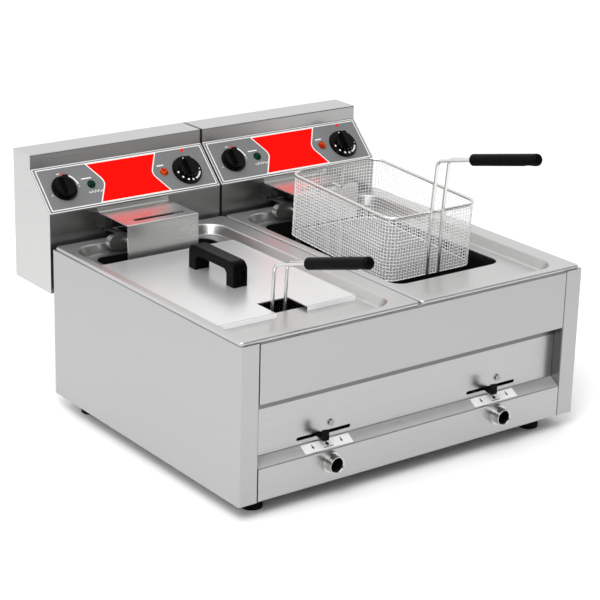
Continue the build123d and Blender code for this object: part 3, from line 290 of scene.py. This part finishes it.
# Several steels below carry painted shade and painted highlights from the masks.
FINISH = {
    "panel_steel": brushed("panel_steel", (0.43, 0.43, 0.43), 0.34, ALONG_Y, shade=post_shade),
    "front_steel": brushed("front_steel", (0.43, 0.43, 0.43), 0.34, ALONG_X),
    "drain_steel": brushed(
        "drain_steel", (0.45, 0.45, 0.45), 0.30, ALONG_X, shade=recess_shade, matt=sill_highlight
    ),
    "plate_steel": brushed("plate_steel", (0.56, 0.56, 0.555), 0.33, ALONG_Y, 0.6, 0.85, plate_shade),
    "head_steel": brushed("head_steel", (0.56, 0.56, 0.555), 0.30, ALONG_X, shade=head_shade),
    "guard_steel": brushed("guard_steel", (0.74, 0.74, 0.73), 0.28, ALONG_X, 0.3, 0.95),
    "lid_steel": brushed("lid_steel", (0.80, 0.80, 0.795), 0.30, ALONG_Y, 0.15, 0.7, lid_shade, lip_highlight),
    # The tanks are steel painted near black, a painted shade for their deep insides.
    "tank_steel": brushed("tank_steel", (0.05, 0.05, 0.05), 0.45, ALONG_Y),
    "element_steel": brushed("element_steel", (0.50, 0.50, 0.49), 0.38, ALONG_X),
    "spout_steel": brushed("spout_steel", (0.55, 0.55, 0.54), 0.22, ALONG_Y, 0.5),
    "screw_steel": brushed("screw_steel", (0.32, 0.32, 0.31), 0.25, ALONG_X, 0.5),
    "switch_steel": brushed("switch_steel", (0.58, 0.58, 0.56), 0.35, ALONG_X),
    "net_wire": brushed("net_wire", (0.96, 0.96, 0.955), 0.35, ALONG_X, 0.1, 0.15),
    "frame_wire": brushed("frame_wire", (0.70, 0.70, 0.69), 0.18, ALONG_X, 0.1, 0.9),
    "brass": brushed("brass", (0.72, 0.55, 0.25), 0.35, ALONG_X),
}
print("steel finishes", len(FINISH))


# %% [markdown]
# Knobs, grips and the lid's handle are moulded black plastic.
# A fine noise bump gives the grain that keeps a moulded part from looking like glass,
# and a soft cloud varies its gloss. Rubber, labels, the fascia and the inks are made the same way.

# %% Moulded plastic, rubber, labels and inks
def moulded(name, colour, rough, grain, depth, shine=0.5):
    finish, shader, place = new_finish(name, Metallic=0.0, Specular_IOR_Level=shine)
    tree = finish.node_tree
    skin = noise(place, grain, 3.0)
    cloud = noise(place, 40.0, 2.0)
    pale = tuple(c * 1.25 + 0.001 for c in colour)
    feed(tree, shader.inputs["Base Color"], blend(place, colour, pale, skin * 0.6 + cloud * 0.4))
    feed(tree, shader.inputs["Roughness"], (skin - 0.5) * 0.2 + (cloud - 0.5) * 0.12 + rough)
    feed(tree, shader.inputs["Normal"], bump(place, skin, depth, 0.0003))
    return finish


FINISH["knob_plastic"] = moulded("knob_plastic", (0.002, 0.002, 0.002), 0.11, 900.0, 0.03, 0.13)
FINISH["grip_plastic"] = moulded("grip_plastic", (0.0015, 0.0015, 0.0015), 0.33, 700.0, 0.2, 0.04)
FINISH["handle_plastic"] = moulded("handle_plastic", (0.0015, 0.0015, 0.0015), 0.25, 700.0, 0.12, 0.045)
FINISH["switch_plastic"] = moulded("switch_plastic", (0.02, 0.02, 0.02), 0.45, 700.0, 0.1)
FINISH["terminal_plastic"] = moulded("terminal_plastic", (0.010, 0.010, 0.010), 0.5, 700.0, 0.1)
FINISH["lever_black"] = moulded("lever_black", (0.002, 0.002, 0.002), 0.30, 500.0, 0.1, 0.05)
FINISH["rubber"] = moulded("rubber", (0.002, 0.002, 0.002), 0.7, 500.0, 0.3, 0.1)
FINISH["label"] = moulded("label", (0.72, 0.72, 0.71), 0.35, 300.0, 0.05)
FINISH["fascia"] = moulded("fascia", (0.168, 0.170, 0.173), 0.45, 600.0, 0.08, 0.12)
FINISH["print_white"] = moulded("print_white", (0.80, 0.80, 0.79), 0.45, 300.0, 0.02, 0.1)
FINISH["print_red"] = moulded("print_red", (0.84, 0.004, 0.002), 0.45, 300.0, 0.02, 0.02)
FINISH["print_black"] = moulded("print_black", (0.02, 0.02, 0.02), 0.45, 300.0, 0.02, 0.1)
print("finishes", len(FINISH))


# %% [markdown]
# A lamp is a clear tinted lens over a small bulb.
# It is given a tinted body with bumped facets, and each facet's colour is painted darker towards its
# middle and brighter towards its edges, a painted glint for the light the facets catch.

# %% Lamp lenses
def lens(name, dark, bright):
    finish, shader, place = new_finish(name, Roughness=0.12, Coat_Weight=0.02, Specular_IOR_Level=0.06)
    tree = finish.node_tree
    facets = place.node("ShaderNodeTexVoronoi", None, {"Vector": place, "Scale": 330.0})
    # Painted glint: the facets blend the colour from bright to dark.
    feed(tree, shader.inputs["Base Color"], blend(place, bright, dark, facets * 1.6))
    feed(tree, shader.inputs["Normal"], bump(place, facets, 0.5, 0.0006))
    return finish


FINISH["green_lens"] = lens("green_lens", (0.0005, 0.012, 0.006), (0.002, 0.075, 0.035))
FINISH["orange_lens"] = lens("orange_lens", (0.30, 0.012, 0.002), (0.95, 0.14, 0.004))

# %% [markdown]
# Every solid takes the finish of its slot in the record.
# The front, drain and back panels are brushed along their length, so they are given another steel.

# %% Dress the solids
OTHER_STEEL = {"front_panel": "front_steel", "drain_panel": "drain_steel", "back_panel": "front_steel"}
slot_of = {part["node"]: part["material_slot"] for part in frame["record"]["subparts"]}
for name, solid in nodes.items():
    solid.data.materials.clear()
    solid.data.materials.append(FINISH[OTHER_STEEL.get(name, slot_of[name])])
print("dressed", len(nodes), "solids")

# %% [markdown]
# Solids arrive as loose triangles, so curved faces look faceted until they are shaded by angle.

# %% Shade by angle
SHARP_ANGLE = math.radians(32)
bpy.ops.object.select_all(action="DESELECT")
for solid in nodes.values():
    solid.select_set(True)
bpy.context.view_layer.objects.active = next(iter(nodes.values()))
bpy.ops.object.shade_smooth_by_angle(angle=SHARP_ANGLE)
bpy.ops.object.select_all(action="DESELECT")
print("shaded by angle")


# %% [markdown]
# Prints on the control face are modelled flat, as thin ink films, and then laid on the slant.
# In the flat drawing x runs from the head's left edge and y runs up the slant, in millimetres.

# %% Helpers for flat prints
MM = 0.001
INK = 0.00012


def start_edit(kind, **sizes):
    bpy.ops.object.select_all(action="DESELECT")
    getattr(bpy.ops.mesh, kind)(**sizes)
    bpy.ops.object.mode_set(mode="EDIT")
    bpy.ops.mesh.select_all(action="SELECT")


def end_edit(name, finishes):
    bpy.ops.object.mode_set(mode="OBJECT")
    made = bpy.context.active_object
    made.name = name
    made.data.name = name
    bpy.ops.object.transform_apply(location=True, rotation=True, scale=True)
    for finish in finishes:
        made.data.materials.append(FINISH[finish])
    return made


def thicken():
    bpy.ops.mesh.select_all(action="SELECT")
    bpy.ops.mesh.extrude_region_move(TRANSFORM_OT_translate={"value": (0, 0, INK)})
    bpy.ops.mesh.select_all(action="SELECT")
    bpy.ops.mesh.normals_make_consistent(inside=False)


def pick(test):
    bpy.ops.mesh.select_all(action="DESELECT")
    bpy.ops.object.mode_set(mode="OBJECT")
    for vertex in bpy.context.active_object.data.vertices:
        vertex.select = test(vertex.co)
    bpy.ops.object.mode_set(mode="EDIT")


def bar(name, finish, x, y, width, height):
    start_edit("primitive_plane_add", size=1)
    bpy.ops.transform.resize(value=(width * MM, height * MM, 1))
    bpy.ops.transform.translate(value=(x * MM, y * MM, 0))
    bpy.ops.mesh.bevel(offset=0.3 * height * MM, segments=3, affect="VERTICES")
    thicken()
    return end_edit(name, [finish])


def disc(name, finish, x, y, radius, sides=20):
    start_edit("primitive_circle_add", vertices=sides, radius=radius * MM, fill_type="NGON")
    bpy.ops.transform.translate(value=(x * MM, y * MM, 0))
    thicken()
    return end_edit(name, [finish])


def arc(name, finish, x, y, radius, width, start, turn):
    """A printed arc from a start angle on through a turn, both in degrees, anticlockwise."""
    first_angle = math.radians(start)
    start_edit("primitive_plane_add", size=1)
    bpy.ops.mesh.delete(type="ONLY_FACE")
    low, high = (radius - width / 2) * MM, (radius + width / 2) * MM
    pick(lambda co: co.x > 0)
    bpy.ops.mesh.delete(type="VERT")
    bpy.ops.object.mode_set(mode="OBJECT")
    first, second = bpy.context.active_object.data.vertices
    for vertex, reach in ((first, low), (second, high)):
        vertex.co = (x * MM + reach * math.cos(first_angle), y * MM + reach * math.sin(first_angle), 0)
    bpy.ops.object.mode_set(mode="EDIT")
    bpy.ops.mesh.select_all(action="SELECT")
    # Blender spins clockwise for a positive angle
    sweep = -math.radians(turn)
    bpy.ops.mesh.spin(steps=16, angle=sweep, center=(x * MM, y * MM, 0), axis=(0, 0, 1))
    thicken()
    return end_edit(name, [finish])


def join(name, parts):
    bpy.ops.object.select_all(action="DESELECT")
    for part in parts:
        part.select_set(True)
    bpy.context.view_layer.objects.active = parts[0]
    bpy.ops.object.join()
    whole = bpy.context.active_object
    whole.name = name
    whole.data.name = name
    bpy.ops.object.select_all(action="DESELECT")
    return whole


def lay_on_slant(piece, side, out=0.0):
    across = Vector((1, 0, 0))
    corner = SLANT_FOOT + Vector((HEAD_LEFT[side], 0, 0)) + SLANT_OUT * (FASCIA_T + out)
    axes = Matrix((across, SLANT_UP, SLANT_OUT)).transposed().to_4x4()
    piece.data.transform(Matrix.Translation(corner) @ axes)
    piece.data.update()
    return piece


print("print helpers ready")

# %% [markdown]
# The control face carries a white keyline on the fascia and, on the steel round it, a thin white line
# along the slant's folded edge that is a painted highlight for the fold's bright edge, and a red panel
# that narrows at its waist with its own white edge.
# A plane's two side edges are cut once, their middle points are pulled in and rounded,
# and an inset leaves the white edge round the red field.

# %% Red panel and keylines
RED_TOP, RED_LOW = 73.2, 4.4
RED_LEFT, RED_RIGHT, RED_WAIST = 88.5, 213.5, 20.5
WAIST_ROUND, RED_EDGE = 7.0, 1.7
INNER_LINE = (5.5, 294.5, 3.5, 74.2, 1.5, 0.0)
# The outer line runs along the slant's folded edge: a painted highlight for the fold's bright edge.
EDGE_HIGHLIGHT_LINE = (1.2, 298.0, 0.5, 77.7, 1.2, -FASCIA_T)
for side in HALVES:
    start_edit("primitive_plane_add", size=1)
    middle = (RED_LEFT + RED_RIGHT) / 2 * MM
    waist = (RED_TOP + RED_LOW) / 2 * MM
    bpy.ops.transform.resize(value=((RED_RIGHT - RED_LEFT) * MM, (RED_TOP - RED_LOW) * MM, 1))
    bpy.ops.transform.translate(value=(middle, waist, 0))
    bpy.ops.mesh.select_mode(type="VERT")
    for flank in (-1, 1):
        pick(lambda co: (co.x - middle) * flank > 0)
        bpy.ops.mesh.subdivide(number_cuts=1)
        pick(lambda co: (co.x - middle) * flank > 0 and abs(co.y - waist) < MM)
        bpy.ops.transform.translate(value=(-flank * RED_WAIST * MM, 0, 0))
        bpy.ops.mesh.bevel(offset=WAIST_ROUND * MM, segments=6, affect="VERTICES")
    bpy.ops.mesh.select_mode(type="FACE")
    bpy.ops.mesh.select_all(action="SELECT")
    bpy.ops.mesh.inset(thickness=RED_EDGE * MM, depth=0)
    bpy.ops.object.mode_set(mode="OBJECT")
    red_field = max(bpy.context.active_object.data.polygons, key=lambda face: face.area)
    red_field.material_index = 1
    bpy.ops.object.mode_set(mode="EDIT")
    thicken()
    panel = end_edit(f"{side}_red_panel", ["print_white", "print_red"])
    lay_on_slant(panel, side)
    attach(panel, f"{side}_head")

    lines = []
    for low_x, high_x, low_y, high_y, width, out in (INNER_LINE, EDGE_HIGHLIGHT_LINE):
        start_edit("primitive_plane_add", size=1)
        bpy.ops.transform.resize(value=((high_x - low_x) * MM, (high_y - low_y) * MM, 1))
        bpy.ops.transform.translate(value=((high_x + low_x) / 2 * MM, (high_y + low_y) / 2 * MM, 0))
        bpy.ops.mesh.select_mode(type="FACE")
        bpy.ops.mesh.inset(thickness=width * MM, depth=0)
        bpy.ops.mesh.delete(type="FACE")
        thicken()
        lines.append(lay_on_slant(end_edit(f"{side}_line", ["print_white"]), side, out))
    keyline_and_highlight = join(f"{side}_keyline_and_edge_highlight", lines)
    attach(keyline_and_highlight, f"{side}_head")
    print(side, "panel faces", len(panel.data.polygons), "keyline faces", len(keyline_and_highlight.data.polygons))

# %% [markdown]
# Small signs: an arc with a red start mark round the selector, a heating wave under the green lamp,
# plain white bars over the lamps and a red pointer over the thermostat.
# The wave is a thin strip cut across many times, with its inner cuts moved up and down in turn.

# %% Small signs
SELECTOR, SELECTOR_RING = (39.2, 37.4), 25.6
GREEN = (85.5, 37.8)
ORANGE = (213.2, 38.1)
THERMO = (252.6, 34.0)
POINTER, POINTER_R = (260.0, 69.7), 4.4
WAVE_L, WAVE_LINE, STROKE, SWING = 24.0, 1.2, 2.6, 2.0
for side in HALVES:
    marks = [
        arc("mark", "print_white", *SELECTOR, SELECTOR_RING, 1.3, 96, -12),
        arc("mark", "print_white", *SELECTOR, SELECTOR_RING + 1.0, 2.1, 51, -42),
        disc("mark", "print_white", SELECTOR[0] + SELECTOR_RING + 1.0, SELECTOR[1] + 0.6, 0.9),
        disc("mark", "print_white", SELECTOR[0] - 22.5, SELECTOR[1] - 8.0, 1.0),
        bar("mark", "print_white", GREEN[0] - 4.0, GREEN[1] + 11.0, 17, 1.8),
        bar("mark", "print_white", ORANGE[0] - 2.0, ORANGE[1] + 11.5, 12, 2.0),
    ]
    start_edit("primitive_plane_add", size=1)
    bpy.ops.transform.resize(value=(WAVE_L * MM, WAVE_LINE * MM, 1))
    for cut in range(-4, 5):
        bpy.ops.mesh.select_all(action="SELECT")
        bpy.ops.mesh.bisect(plane_co=(cut * STROKE * MM, 0, 0), plane_no=(1, 0, 0))
    for cut in range(-3, 4):
        pick(lambda co: abs(co.x - cut * STROKE * MM) < 0.2 * MM)
        bpy.ops.transform.translate(value=(0, (-SWING if cut % 2 else SWING) * MM, 0))
    bpy.ops.mesh.select_all(action="SELECT")
    bpy.ops.transform.translate(value=((GREEN[0] + 3) * MM, (GREEN[1] - 12.5) * MM, 0))
    thicken()
    marks.append(end_edit("mark", ["print_white"]))
    signs = join(f"{side}_white_signs", marks)
    lay_on_slant(signs, side)
    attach(signs, f"{side}_head")

    start_edit("primitive_circle_add", vertices=3, radius=POINTER_R * MM, fill_type="NGON")
    bpy.ops.transform.rotate(value=math.pi, orient_axis="Z", center_override=(0, 0, 0))
    bpy.ops.transform.translate(value=(POINTER[0] * MM, POINTER[1] * MM, 0))
    thicken()
    pointer = end_edit("mark", ["print_red"])
    start = arc("mark", "print_red", *SELECTOR, SELECTOR_RING, 1.8, 79, -22)
    red_signs = join(f"{side}_red_signs", [pointer, start])
    lay_on_slant(red_signs, side)
    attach(red_signs, f"{side}_head")
    print(side, "signs", len(signs.data.polygons), "red signs", len(red_signs.data.polygons))

# %% [markdown]
# The thermostat's dial is marked on its skirt with a row of dots and a band at the hot end.
# The marks turn with the knob, so they ride on the knob's body and sit on the skirt's flat rim.

# %% Dial marks
KNOB_LIFT, SKIRT_T = 0.0006, 0.005
MARK_RING = 19.2
DOTS = ((92, 1.0), (190, 1.6), (221, 1.7), (249, 1.8), (273, 1.9), (352, 1.0))
BAND_W, BAND_START, BAND_TURN = 2.8, 289, 48
for side in HALVES:
    marks = [arc("mark", "print_white", *THERMO, MARK_RING, BAND_W, BAND_START, BAND_TURN)]
    for angle, radius in DOTS:
        turn = math.radians(angle)
        x = THERMO[0] + MARK_RING * math.cos(turn)
        up = THERMO[1] + MARK_RING * math.sin(turn)
        marks.append(disc("mark", "print_white", x, up, radius))
    dial = join(f"{side}_dial_marks", marks)
    lay_on_slant(dial, side, KNOB_LIFT + SKIRT_T)
    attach(dial, f"{side}_thermostat_dial")
    print(side, "dial marks", len(marks))

# %% [markdown]
# Each drain has a white plate on the sloped sill.
# Its sign is a plain drop over a line, with an arrow on each side.
# The drop is a circle with its top point pulled up.

# %% Drain signs
SILL_MID = Vector((0, (SILL_FRONT_Y + SILL_BACK_Y) / 2 - ORIGIN_Y, (SILL_LOW_Z + SILL_TOP_Z) / 2))
SILL_OUT = Vector((0, SILL_LOW_Z - SILL_TOP_Z, SILL_BACK_Y - SILL_FRONT_Y)).normalized()
SILL_UP = SILL_OUT.cross(Vector((1, 0, 0)))
DRAIN_X = {"left": -0.150, "right": 0.150}
DROP_R, ARROW_X = 2.6, 24
for side in HALVES:
    start_edit("primitive_circle_add", vertices=24, radius=DROP_R * MM, fill_type="NGON")
    pick(lambda co: co.y > (DROP_R - 0.1) * MM)
    bpy.ops.transform.translate(value=(0, DROP_R * MM, 0))
    thicken()
    signs = [end_edit("mark", ["print_black"])]
    signs.append(bar("mark", "print_black", 0, -4.6, 16, 1.0))
    for flank in (-1, 1):
        start_edit("primitive_circle_add", vertices=3, radius=DROP_R * MM, fill_type="NGON")
        bpy.ops.transform.rotate(value=math.pi, orient_axis="Z", center_override=(0, 0, 0))
        bpy.ops.transform.translate(value=(flank * ARROW_X * MM, -0.6 * MM, 0))
        thicken()
        signs.append(end_edit("mark", ["print_black"]))
        signs.append(bar("mark", "print_black", flank * ARROW_X, 2.6, 1.6, 4.4))
    sign = join(f"{side}_drain_sign", signs)
    axes = Matrix((Vector((1, 0, 0)), SILL_UP, SILL_OUT)).transposed().to_4x4()
    middle = SILL_MID + Vector((DRAIN_X[side], 0, 0)) + SILL_OUT * LABEL_T
    sign.data.transform(Matrix.Translation(middle) @ axes)
    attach(sign, "body")
    print(side, "drain sign", len(sign.data.polygons))

# %% [markdown]
# A fryer basket is woven from thin wire. Upright wires line its walls and level rings cross them,
# each passing over one wire and under the next, and two sets of straight wires cross on the floor.
# Solid thin walls would hide the food and the light, so the net is made of real wires.
# A curve with a round section is the plain way to make a wire, and one curve object holds a whole net.

# %% Weave the baskets
# WIRE is a radius, and FLOOR_WIRE and BOTTOM_RING are multiples of it
PITCH = 0.0050
WIRE = 0.00050
LIFT = 0.00047
FLOOR_WIRE = 0.6
BOTTOM_RING = 1.8
RIM_X, RIM_Y, RIM_R = 0.0832, 0.1217, 0.022
DEPTH, TOP = 0.0952, 0.0005


def wall_point(share, drop):
    """A point on the net's wall, a share of the way round at a drop below the rim, and its way out."""
    straight_x, straight_y = 2 * (RIM_X - RIM_R), 2 * (RIM_Y - RIM_R)
    quarter = RIM_R * math.pi / 2
    run = share * (2 * straight_x + 2 * straight_y + 4 * quarter)
    legs = ((1, 0, straight_x), (0, 1, straight_y), (-1, 0, straight_x), (0, -1, straight_y))
    for ahead_x, ahead_y, length in legs:
        ahead = Vector((ahead_x, ahead_y, 0))
        out = Vector((ahead_y, -ahead_x, 0))
        middle = Vector((out.x * RIM_X, out.y * RIM_Y, -drop))
        if run <= length:
            return middle + ahead * (run - length / 2), out
        run -= length
        if run <= quarter:
            swing = Matrix.Rotation(run / RIM_R, 3, "Z") @ out
            hub = middle + ahead * (length / 2) - out * RIM_R
            return hub + swing * RIM_R, swing
        run -= quarter
    return wall_point(0.0, drop)


def weave():
    """All the wires of one net: their points, whether they close, and their thickness."""
    wires = []
    rows = round((DEPTH - TOP) / PITCH)
    length = 4 * (RIM_X - RIM_R) + 4 * (RIM_Y - RIM_R) + 2 * math.pi * RIM_R
    around = 2 * round(length / PITCH / 2)
    for row in range(1, rows + 1):
        ring = []
        for step in range(around):
            spot, out = wall_point(step / around, TOP + row * (DEPTH - TOP) / rows)
            ring.append(spot + out * (LIFT if (step + row) % 2 else -LIFT))
        wires.append((ring, True, BOTTOM_RING if row == rows else 1.0))
    for step in range(around):
        upright = []
        for row in range(rows + 1):
            spot, out = wall_point(step / around, TOP + row * (DEPTH - TOP) / rows)
            upright.append(spot + out * (-LIFT if (step + row) % 2 else LIFT))
        wires.append((upright, False, 1.0))
    for along_x in (True, False):
        reach, span = (RIM_Y, RIM_X) if along_x else (RIM_X, RIM_Y)
        count = round(2 * reach / PITCH)
        cross = round(2 * span / PITCH)
        for line in range(1, count):
            off = -reach + line * 2 * reach / count
            inside = max(0.0, abs(off) - (reach - RIM_R))
            end = span - RIM_R + math.sqrt(max(0.0, RIM_R**2 - inside**2))
            wire = []
            for step in range(cross + 1):
                run = -span + step * 2 * span / cross
                run = max(-end, min(end, run))
                up = LIFT if (step + line + along_x) % 2 else -LIFT
                spot = (run, off) if along_x else (off, run)
                wire.append(Vector((*spot, -DEPTH + up)))
            wires.append((wire, False, FLOOR_WIRE))
    return wires


# The middle of each net's rim, in metres, and its lean in degrees
BASKET = {"left": (-0.153, 0.008, 0.22205, 0.0), "right": (0.1429, 0.0286, 0.3274, 2.8)}
for side in HALVES:
    bpy.ops.object.select_all(action="DESELECT")
    drawing = bpy.data.curves.new(f"{side}_net_wires", "CURVE")
    drawing.dimensions = "3D"
    drawing.bevel_depth = WIRE
    drawing.bevel_resolution = 0
    for points, closed, thick in weave():
        spline = drawing.splines.new("POLY")
        spline.points.add(len(points) - 1)
        spline.points.foreach_set("co", [value for point in points for value in (*point, 1.0)])
        spline.points.foreach_set("radius", [thick] * len(points))
        spline.use_cyclic_u = closed
    net = bpy.data.objects.new(f"{side}_net_wires", drawing)
    bpy.context.scene.collection.objects.link(net)
    net.select_set(True)
    bpy.context.view_layer.objects.active = net
    bpy.ops.object.convert(target="MESH")
    net = bpy.context.active_object
    x, y, z, lean = BASKET[side]
    tilt = Matrix.Rotation(math.radians(lean), 4, "X")
    net.data.transform(Matrix.Translation((x, y - ORIGIN_Y, z)) @ tilt)
    bpy.ops.object.shade_smooth()
    net.data.materials.clear()
    net.data.materials.append(FINISH["net_wire"])
    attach(net, f"{side}_basket")
    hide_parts(f"{side}_basket_net")
    print(side, "net", len(net.data.polygons), "faces")

# %% [markdown]
# The studio: a white floor, a bright sky behind and overhead, and a darker room on the camera's side.
# Steel shows whatever stands around it, so the dark half is what gives the folded faces their contrast.
# How far a direction points to the back picks the sky's shade, and a little is added overhead.

# %% Floor and surround
SKY = ((0.0, 0.08), (0.26, 0.13), (0.46, 0.9), (1.0, 1.0))
FLOOR_WHITE = (0.95, 0.95, 0.95)
bpy.ops.object.select_all(action="DESELECT")
bpy.ops.mesh.primitive_plane_add(size=14, location=(0, 0, 0))
floor = bpy.context.active_object
floor.name = "floor"
floor_finish = new_finish("floor_white", Base_Color=FLOOR_WHITE, Roughness=1.0, Specular_IOR_Level=0.0)[0]
floor.data.materials.append(floor_finish)

world = bpy.data.worlds.new("studio")
bpy.context.scene.world = world
world.use_nodes = True
sky = world.node_tree
backdrop = sky.nodes["Background"]
heading = Wire(sky, sky.nodes.new("ShaderNodeTexCoord").outputs["Generated"])
backward = heading.node("ShaderNodeSeparateXYZ", None, {"Vector": heading}, out=1)
high = Wire(sky, backward.socket.node.outputs[2])
shade = backward * 0.5 + 0.5
room = shade.node("ShaderNodeValToRGB", {"stops": SKY}, {"Fac": shade})
feed(sky, backdrop.inputs["Color"], room)
feed(sky, backdrop.inputs["Strength"], high * 0.1 + 1.0)


def softbox(name, place, aim, size, watts):
    bpy.ops.object.light_add(type="AREA", location=place)
    lamp = bpy.context.active_object
    lamp.name = name
    lamp.data.energy = watts
    lamp.data.shape = "RECTANGLE"
    lamp.data.size, lamp.data.size_y = size
    lamp.rotation_euler = (Vector(aim) - Vector(place)).to_track_quat("-Z", "Y").to_euler()


softbox("key", (-1.7, -1.6, 2.4), (0, 0, 0.2), (1.2, 1.2), 45)
bpy.ops.object.light_add(type="SUN", location=(0, 0, 4))
sun = bpy.context.active_object
sun.name = "sun"
sun.data.energy = 1.4
sun.data.angle = math.radians(70)
sun.rotation_euler = (math.radians(18), math.radians(-22), 0)
print("studio ready")

# %% [markdown]
# The camera stands where the photograph's did.
# Its place, turn and lens were solved from the body's corners.

# %% Camera
AZIMUTH, ELEVATION, ROLL = (math.radians(value) for value in (-36.941, 19.397, 1.49))
SHIFT_X, SHIFT_Y, DISTANCE = -0.0183, 0.15141, 2.8808
LENS_PX, IMAGE_PX, SENSOR = 1935.02, 600, 36.0
LOOK_AT = Vector((0, -ORIGIN_Y, 0.025))
back = Vector((
    math.sin(AZIMUTH) * math.cos(ELEVATION),
    -math.cos(AZIMUTH) * math.cos(ELEVATION),
    math.sin(ELEVATION),
))
level = (-back).cross(Vector((0, 0, 1))).normalized()
upright = level.cross(-back)
right = math.cos(ROLL) * level + math.sin(ROLL) * upright
up = -math.sin(ROLL) * level + math.cos(ROLL) * upright
eye = back * DISTANCE + right * SHIFT_X + up * SHIFT_Y + LOOK_AT
lens_data = bpy.data.cameras.new("camera")
lens_data.sensor_width = SENSOR
lens_data.lens = LENS_PX * SENSOR / IMAGE_PX
camera = bpy.data.objects.new("camera", lens_data)
camera.matrix_world = Matrix.Translation(eye) @ Matrix((right, up, back)).transposed().to_4x4()
bpy.context.scene.collection.objects.link(camera)
bpy.context.scene.camera = camera
bpy.context.scene.view_settings.view_transform = "Standard"
print("camera at", [round(value, 3) for value in eye])
